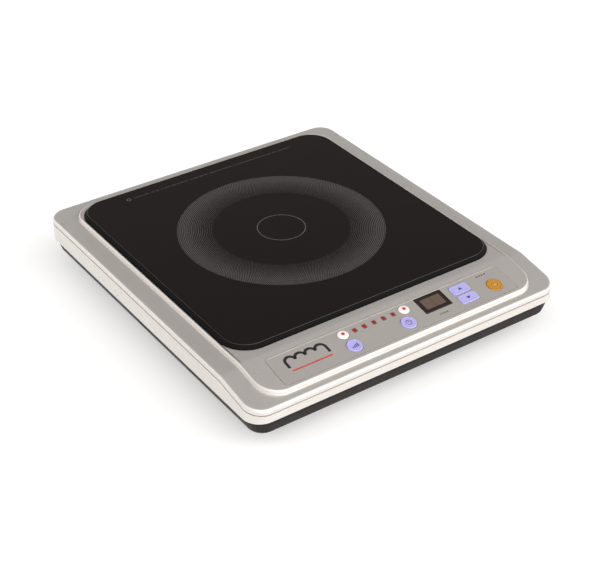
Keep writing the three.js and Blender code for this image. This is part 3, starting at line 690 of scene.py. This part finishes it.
def pan_cutters(low, inner, rim):
    """What is cut out of the pan: bores for feet and screws, air slots and the cord's notch."""
    cutters = []
    for i in range(1, 5):
        for node, radius in BORES.items():
            a, b = node_box(f"{node}_{i}")
            middle = (a + b) / 2
            cutters.append(drill(f"bore_{node}_{i}", middle.x, middle.y, radius, low - 1, inner + 1))
    fan_low, fan_high = node_box("fan_rotor")
    fan = (fan_low + fan_high) / 2
    for i in range(-4, 5):
        along = i * INTAKE_PITCH
        reach = math.sqrt(INTAKE_REACH ** 2 - along ** 2)
        span = (fan.x - reach, fan.x + reach, fan.y + along - SLOT_HALF, fan.y + along + SLOT_HALF)
        cutters.append(slot_cutter(f"intake_{i + 4}", *span, low - 1, inner + 1))
    for i in range(SIDE_SLOTS):
        y = SIDE_FIRST + i * SLOT_PITCH
        ends = (y - SLOT_HALF, y + SLOT_HALF)
        cutters.append(side_slot(f"side_{i}", WIDTH / 2 - SLOT_DEPTH, WIDTH / 2, *ends))
    for i in range(BACK_SLOTS):
        x = BACK_FIRST + i * SLOT_PITCH
        ends = (x - SLOT_HALF, x + SLOT_HALF)
        cutters.append(side_slot(f"back_{i}", *ends, DEPTH / 2 - SLOT_DEPTH, DEPTH / 2))
    gland_low, gland_high = node_box("cord_gland")
    x0, x1 = gland_low.x + GLAND_FLANGE - GAP, gland_high.x - GLAND_FLANGE + GAP
    outline = rounded_rect(x0, x1, DEPTH / 2 - SLOT_DEPTH, DEPTH / 2, 0.1, 1)
    notch = [[(x, y, z) for x, y in outline] for z in (gland_low.z - GAP, rim + 1)]
    return [*cutters, new_object("gland_notch", skin(notch))]


def make_pan(look):
    low = PAN_LOW.z
    rim = SKIRT_LOW.z - GAP
    inner = low + WALL
    rings = [
        case_ring(low, FLOOR_INSET + 2.4, corner=12),
        case_ring(low + 0.25, FLOOR_INSET + 1.0, corner=12),
        case_ring(low + 1.2, FLOOR_INSET - 0.6, corner=12),
    ]
    for up, extra in ((-1.6, 1.8), (-0.6, 0.75), (0.4, 0.18), (1.4, 0)):
        rings.append(pan_ring(CHINE + up, extra))
    rings += [pan_ring(rim, 0), pan_ring(rim, WALL), pan_ring(CHINE + 1.6, WALL)]
    rings.append(case_ring(inner, FLOOR_INSET + 2, corner=11))
    piece = new_object("base_shell", skin(rings))
    cut(piece, pan_cutters(low, inner, rim))
    soften(piece, 0.3)
    return settle(piece, "case", "black_base", look, "base_pan")


GLAND_FLANGE = 1.6
GLAND_Z = 27.4
GLAND_BORE = 3.5


def drill(name, x, y, radius, low, high):
    return new_object(name, skin(turned([(radius, low), (radius, high)], 32, (x, y))))


def slot_cutter(name, x0, x1, y0, y1, low, high):
    """A slot with round ends."""
    corner = min(x1 - x0, y1 - y0) / 2
    rings = [[(px, py, z) for px, py in rounded_rect(x0, x1, y0, y1, corner, 6)] for z in (low, high)]
    return new_object(name, skin(rings))


def side_slot(name, x0, x1, y0, y1):
    rings = [[(px, py, z) for px, py in rounded_rect(x0, x1, y0, y1, 0.1, 1)] for z in (CHINE + 2, CHINE + 9)]
    return new_object(name, skin(rings))


GLASS_ROUND = 0.45


def make_glass(look):
    low, high = GLASS_LOW.z, GLASS_HIGH.z
    rings = [glass_ring(low, -0.6), glass_ring(low + 0.2, -0.15), glass_ring(low + 0.6, 0)]
    rings += [glass_ring(high - GLASS_ROUND, 0)]
    for inset, z in arc(0, 0, GLASS_ROUND, 0, 90, 5)[1:]:
        rings.append(glass_ring(high - GLASS_ROUND + z, inset - GLASS_ROUND))
    rings.append(glass_ring(high, -2))
    piece = new_object("glass_top", skin(rings))
    return settle(piece, "case", "black_glass", look, "glass_plate")


def make_seal(look):
    under, top = SEAL_LOW.z, SEAL_HIGH.z
    width = SEAL_HIGH.x - GLASS_HIGH.x
    rings = [glass_ring(under, width)]
    for up, share in ((0.15, 1), (0.35, 0.9), (0.7, 0.66), (1.3, 0.4)):
        rings.append(glass_ring(UPPER_TIER + up, width * share))
    rings += [glass_ring(top - 0.4, width * 0.22), glass_ring(top, 0.25), glass_ring(under, 0.25)]
    piece = new_object("silicone_bead", skin(rings, tube=True))
    return settle(piece, "case", "black_silicone", look, "glass_seal")


def make_overlay(look):
    half_x, half_y = OVERLAY_HALF_X, OVERLAY_HALF_Y
    shape = panel_block(OVERLAY_CENTRE, half_x, half_y, OVERLAY_CORNER, OVERLAY_FLOOR + GAP, OVERLAY_TOP)
    piece = new_object("printed_overlay", shape)
    cut(piece, [panel_cutter(f"cut_{i}", *opening) for i, opening in enumerate(openings(GAP))])
    soften(piece, 0.08)
    return settle(piece, "case", "printed_film", look, "panel_overlay")


KEY_TOP = 1.1
KEY_DISH = 0.22
KEY_EDGE = 0.7
KEY_LOW, KEY_FLANGE_TOP = -4.5, -3.5


def make_key(name, look):
    half_x, half_y, corner = key_shape(name)
    centre = panel_place(f"switch_{name}")
    flanged = (half_x + FLANGE, half_y + FLANGE, corner + FLANGE)
    rings = [panel_ring(centre, *flanged, out) for out in (KEY_LOW, KEY_FLANGE_TOP)]
    rings.append(panel_ring(centre, half_x, half_y, corner, KEY_FLANGE_TOP))
    for inset, up in arc(0, 0, KEY_EDGE, 0, 90, 5):
        in_by = inset - KEY_EDGE
        turn = max(corner + in_by, 0.3)
        rings.append(panel_ring(centre, half_x + in_by, half_y + in_by, turn, KEY_TOP - KEY_EDGE + up))
    for share in (0.95, 0.9, 0.84, 0.77, 0.7):
        dish = KEY_DISH * math.sin((1 - share) / 0.3 * math.pi / 2)
        x, y = (half_x - KEY_EDGE) * share, (half_y - KEY_EDGE) * share
        rings.append(panel_ring(centre, x, y, max(corner - KEY_EDGE, 0.3) * share, KEY_TOP - dish))
    piece = new_object(f"cap_{name}", skin(rings), 40)
    slot = "orange_key" if name == "power" else "lavender_key"
    return settle(piece, f"{name}_key", slot, look, f"key_{name}")


LENS_DOME = 0.8


def make_lenses(red, white):
    for i in range(1, 6):
        name = f"indicator_lens_{i}"
        centre = panel_place(name)
        rings = [panel_ring(centre, LENS_HALF[0], LENS_HALF[1], 0.5, -4.2, 4)]
        for inset, up in arc(0, 0, 0.5, 0, 90, 4):
            x, y = LENS_HALF[0] + inset - 0.5, LENS_HALF[1] + inset - 0.5
            rings.append(panel_ring(centre, x, y, 0.5, 0.1 + up, 4))
        piece = new_object(f"red_lens_{i}", skin(rings), 40)
        settle(piece, "case", "red_lens", red, name)
    for side in ("left", "right"):
        name = f"mode_lens_{side}"
        low, high = node_box(name)
        radius = (high.x - low.x) / 2
        centre = panel_place(name)
        rings = [panel_ring(centre, radius, radius, radius, -4.2)]
        for angle in (0, 20, 45, 70):
            r = radius - 0.5 + 0.5 * math.cos(math.radians(angle))
            rings.append(panel_ring(centre, r, r, r, 0.2 + 0.35 * math.sin(math.radians(angle))))
        for share in (0.9, 0.75, 0.55, 0.35, 0.12):
            r = radius * share * 0.95
            rings.append(panel_ring(centre, r, r, r, 0.55 + LENS_DOME * (1 - share ** 2)))
        piece = new_object(f"white_lens_{side}", skin(rings), 50)
        settle(piece, "case", "white_lens", white(centre), name)


def make_window(look):
    low, high = node_box("display_window")
    half_x = (high.x - low.x) / 2
    centre = panel_place("display_window")
    rings = [panel_ring(centre, half_x, DISPLAY_HALF_Y, 0.8, -1.6)]
    for inset, up in arc(0, 0, 0.25, 0, 90, 3):
        rings.append(panel_ring(centre, half_x + inset - 0.25, DISPLAY_HALF_Y + inset - 0.25, 0.7, 0.15 + up))
    piece = new_object("tinted_window", skin(rings))
    return settle(piece, "case", "dark_window", look, "display_window")


# ---------- printing on the panel, and a painted highlight along the overlay's top edge ---

INK = 0.03
INK_ROOT = 0.05


def ink_bar(shape, x, up, half_x, half_y, corner=0.15, out=OVERLAY_TOP):
    return panel_block((x, up), half_x, half_y, corner, out - INK_ROOT, out + INK, shape)


def ink_ring(shape, x, up, radius, width, start=0, end=360, out=OVERLAY_TOP, steps=28):
    """A printed arc, or a whole ring."""
    whole = end - start >= 360
    count = steps if whole else steps + 1
    corners = []
    for i in range(count):
        angle = math.radians(start + (end - start) * i / steps)
        row = []
        for side, level in ((-1, -INK_ROOT), (1, -INK_ROOT), (1, INK), (-1, INK)):
            r = radius + side * width / 2
            place = on_panel(x + r * math.cos(angle), up + r * math.sin(angle), out + level)
            row.append(shape.verts.new(place))
        corners.append(row)
    for i in range(count if whole else count - 1):
        a, b = corners[i], corners[(i + 1) % count]
        for k in range(4):
            m = (k + 1) % 4
            shape.faces.new((a[k], a[m], b[m], b[k]))
    if not whole:
        shape.faces.new(list(reversed(corners[0])))
        shape.faces.new(corners[-1])
    return shape


def ink_shape(shape, x, up, points, out):
    """A printed patch from its outline, points given from its middle."""
    rings = [[on_panel(x + px, up + py, out + level) for px, py in points] for level in (-INK_ROOT, INK)]
    return skin(rings, shape=shape)


def ink_dashes(shape, x, up, half_x, count):
    """A row of short dashes, in place of a word."""
    pitch = 2 * half_x / count
    for i in range(count):
        ink_bar(shape, x - half_x + (i + 0.5) * pitch, up, pitch * 0.36, 0.5, 0.2)


COIL_MARK = {"x": -89.8, "up": -17.8, "radius": 5.0, "width": 2.7, "loops": 4}


def coil_mark(shape):
    """A plain row of arches, as a picture of an induction coil."""
    mark = COIL_MARK
    pitch = mark["radius"] * 2
    for i in range(mark["loops"]):
        x = mark["x"] + (i - (mark["loops"] - 1) / 2) * pitch
        ink_ring(shape, x, mark["up"], mark["radius"], mark["width"], 0, 180)
    for side in (-1, 1):
        x = mark["x"] + side * mark["loops"] / 2 * pitch
        ink_bar(shape, x, mark["up"] - 3.2, mark["width"] / 2, 3.3, 0.3)


def make_prints(dark, edge_highlight, red):
    shape = bmesh.new()
    coil_mark(shape)
    for x, up, half, count in ((103, -11, 6, 4), (44, -33.2, 5, 4)):
        ink_dashes(shape, x, up, half, count)
    piece = new_object("print_dark", shape)
    settle(piece, "case", "printed_film", dark)
    shape = bmesh.new()
    # painted highlight: a pale line just inside the overlay's top edge, where that edge catches the light
    ink_bar(shape, 0, -6.9, OVERLAY_HALF_X - 2.5, 0.25, 0.2)
    piece = new_object("painted_edge_highlight", shape)
    settle(piece, "case", "printed_film", edge_highlight)
    shape = bmesh.new()
    ink_bar(shape, COIL_MARK["x"], -28.0, 20, 0.8, 0.7)
    piece = new_object("print_red", shape)
    settle(piece, "case", "printed_film", red)


def make_key_icons(look):
    """Generic signs on the keys: on/off, bars, a clock, and two arrowheads."""
    out = KEY_TOP - KEY_DISH
    arrow = [(-2.2, -1.2), (2.2, -1.2), (0, 1.7)]
    for name in KEYS:
        x, up = panel_place(f"switch_{name}")
        shape = bmesh.new()
        if name == "power":
            ink_ring(shape, x, up, 2.7, 0.7, 120, 420, out)
            ink_bar(shape, x, up + 2.3, 0.35, 1.6, 0.1, out)
        elif name == "round_left":
            for i in range(4):
                ink_bar(shape, x - 2.7 + i * 1.8, up - 1.9 + i * 0.45, 0.55, 0.8 + i * 0.45, 0.1, out)
        elif name == "round_right":
            ink_ring(shape, x, up, 2.7, 0.6, 0, 360, out)
            ink_bar(shape, x, up + 0.8, 0.28, 1.0, 0.1, out)
            ink_bar(shape, x + 0.7, up - 0.1, 0.85, 0.28, 0.1, out)
        else:
            turn = 1 if name == "up" else -1
            ink_shape(shape, x, up, [(px * turn, py * turn) for px, py in arrow], out)
        piece = new_object(f"icon_{name}", shape)
        settle(piece, f"{name}_key", "printed_film", look)


# ---------- small parts ----------

def turned_piece(name, profile, centre, steps=48):
    return new_object(name, skin(turned(profile, steps, centre)), 35)


def make_feet(look):
    for i in range(1, 5):
        low, high = node_box(f"foot_{i}")
        middle = (low + high) / 2
        r = (high.x - low.x) / 2
        top = PAN_LOW.z - GAP
        floor = PAN_LOW.z + WALL + GAP
        profile = [(0.4, 0.9), (r - 5.2, 0.9), (r - 4.8, 0.15), (r - 4.2, 0), (r - 2.3, 0), (r - 1.6, 0.25)]
        profile += [(r - 1.1, 1.0), (r - 0.55, top * 0.5), (r - 0.1, top - 0.6), (r - 0.5, top), (3, top)]
        profile += [(3, floor), (4.4, floor), (2.2, high.z), (0.3, high.z)]
        piece = turned_piece(f"rubber_foot_{i}", profile, (middle.x, middle.y))
        settle(piece, "case", "black_rubber", look, f"foot_{i}")


def make_screws(look):
    for i in range(1, 5):
        low, high = node_box(f"case_screw_{i}")
        middle = (low + high) / 2
        z = low.z
        profile = [(0.3, z), (2.4, z), (3.2, z + 0.25), (3.8, z + 0.8), (4, z + 1.4), (4, z + 3.1)]
        profile += [(1.9, z + 3.1), (1.9, high.z - 2), (0.6, high.z), (0.2, high.z)]
        piece = turned_piece(f"screw_{i}", profile, (middle.x, middle.y), 32)
        arms = []
        for turn, (x, y) in enumerate(((0.45, 2.1), (2.1, 0.45))):
            outline = rounded_rect(-x, x, -y, y, 0.1, 1)
            rings = [[(middle.x + px, middle.y + py, h) for px, py in outline] for h in (z - 1, z + 1.3)]
            arms.append(new_object(f"recess_{turn}", skin(rings)))
        cut(piece, arms)
        settle(piece, "case", "steel_screw", look, f"case_screw_{i}")


def gland_ring(low, high, grow, y):
    """A rounded rectangle across the bush at depth y, wider by grow, and lower where grow is negative."""
    rise = min(grow, 0) * 0.3
    corner = 1.5 + max(grow, -1.2)
    outline = rounded_rect(low.x - grow, high.x + grow, low.z - rise, high.z + rise, corner, 6)
    return [(x, y, z) for x, z in outline]


def make_gland(look):
    low, high = node_box("cord_gland")
    wall_out = DEPTH / 2 - PAN_INSET
    wall_in = wall_out - WALL
    stations = [(low.y, -0.5), (low.y + 0.5, 0), (wall_in - GAP, 0), (wall_in - GAP, -GLAND_FLANGE),
                (wall_out + GAP, -GLAND_FLANGE), (wall_out + GAP, 0), (high.y - 0.7, 0), (high.y, -0.7)]
    piece = new_object("gland_bush", skin([gland_ring(low, high, grow, y) for y, grow in stations]), 35)
    bore = new_object("gland_bore", skin(turned([(GLAND_BORE, low.y - 1), (GLAND_BORE, high.y + 1)], 40)))
    bore.data.transform(Matrix.Rotation(-math.pi / 2, 4, "X"))
    bore.data.transform(Matrix.Translation(((low.x + high.x) / 2 * MM, 0, GLAND_Z * MM)))
    cut(piece, [bore])
    settle(piece, "case", "black_rubber", look, "cord_gland")


def dress_inside():
    """Materials for the CAD nodes that stay as they are, inside the case."""
    looks = {
        "mica": smooth_plastic("mica_board", (212, 203, 180), 0.7),
        "copper": metal("enamelled_copper", (168, 96, 50), 0.3, 0.6),
        "dark_plastic": grained_plastic("inner_plastic", (44, 42, 41), 0.5),
        "ferrite": grained_plastic("ferrite", (62, 62, 65), 0.7, 0.3, 0.02),
        "white_plastic": smooth_plastic("nylon", (228, 225, 217), 0.45),
        "board": smooth_plastic("board_green", (52, 98, 62), 0.4),
        "aluminium_fins": metal("extruded_aluminium", (196, 198, 201), 0.4, 1.2),
        "blue_film": smooth_plastic("blue_box", (44, 92, 164), 0.35),
        "grey_film": smooth_plastic("grey_box", (136, 139, 142), 0.4),
    }
    slots = {row["node"]: row["material_slot"] for row in frame["record"]["subparts"]}
    for name, node in frame["nodes"].items():
        if slots[name] in looks and not node.hide_render:
            node.data.materials.clear()
            node.data.materials.append(looks[slots[name]])


def white_lens_look(centre):
    """A white lens with a red spot in its middle."""
    look = Look(f"white_lens_{'left' if centre[0] < -20 else 'right'}", (243, 236, 233), 0.2, Coat_Weight=0.4)
    x0, y0, _ = on_panel(centre[0], centre[1], 0)
    spot = look.span(look.distance(x0, y0), 2.0, 1.3)
    look.base(look.mix(spot, look.shaded(look.noise(2.0), 0.03), tone(205, 48, 52)))
    return look.material


def orange_look():
    """Orange plastic with a painted highlight: yellower towards the middle of the key."""
    look = Look("orange_plastic", (190, 126, 32), 0.35, Subsurface_Weight=0.1)
    x0, y0, _ = on_panel(*panel_place("switch_power"), 0)
    # painted highlight: the colour turns yellower towards the middle of the key
    middle = look.span(look.distance(x0, y0), 6.2, 1.5, smooth=True)
    look.base(look.mix(middle, look.shaded(look.noise(3.0, 3.0), 0.05), tone(214, 162, 54)))
    look.bump(look.noise(0.4, 2.0), 0.006)
    return look.material


def window_look():
    """A dark tinted window; behind it a paler module with two unlit digits."""
    look = Look("tinted_window", (40, 31, 28), 0.1, Coat_Weight=0.6, Coat_Roughness=0.04)
    x0, up0 = panel_place("display_window")
    _, y0, _ = on_panel(x0, up0, 0)
    x = look.math("ABSOLUTE", look.math("SUBTRACT", look.x, x0))
    y = look.math("ABSOLUTE", look.math("SUBTRACT", look.y, y0))
    module = look.math("MULTIPLY", look.span(x, 10.6, 10.2), look.span(y, 6.2, 5.8))
    divide = look.span(x, 0.25, 0.55)
    area = look.math("MULTIPLY", module, look.math("ADD", look.math("MULTIPLY", divide, 0.4), 0.6))
    look.base(look.mix(area, look.shaded(look.noise(4.0), 0.1), tone(100, 84, 74)))
    return look.material


make_world()
make_camera()
make_floor()

silver = silver_paint()
make_cover(silver)
make_skirt(silver)
make_pan(base_plastic())
make_glass(printed_glass())
make_seal(rubber("silicone", (11, 10, 9), 0.12))
film = silver_paint("printed_film", (208, 202, 197), 0.53)
make_overlay(film)
orange = orange_look()
lavender = smooth_plastic("lavender_plastic", (176, 170, 226), 0.42)
for key in KEYS:
    make_key(key, orange if key == "power" else lavender)
make_lenses(smooth_plastic("red_lens", (146, 40, 33), 0.25, Coat_Weight=0.4), white_lens_look)
make_window(window_look())
# the second of these colours is a painted highlight along the overlay's top edge
make_prints(smooth_plastic("dark_ink", (38, 35, 36), 0.5), smooth_plastic("painted_highlight_ink", (206, 201, 192), 0.5),
            smooth_plastic("red_ink", (186, 78, 66), 0.5))
make_key_icons(smooth_plastic("icon_ink", (58, 60, 116), 0.45))
make_feet(rubber("foot_rubber"))
make_screws(metal("zinc_steel", (176, 178, 182), 0.32))
make_gland(rubber("gland_rubber"))
dress_inside()

scene = bpy.context.scene
scene.view_settings.view_transform = "Standard"
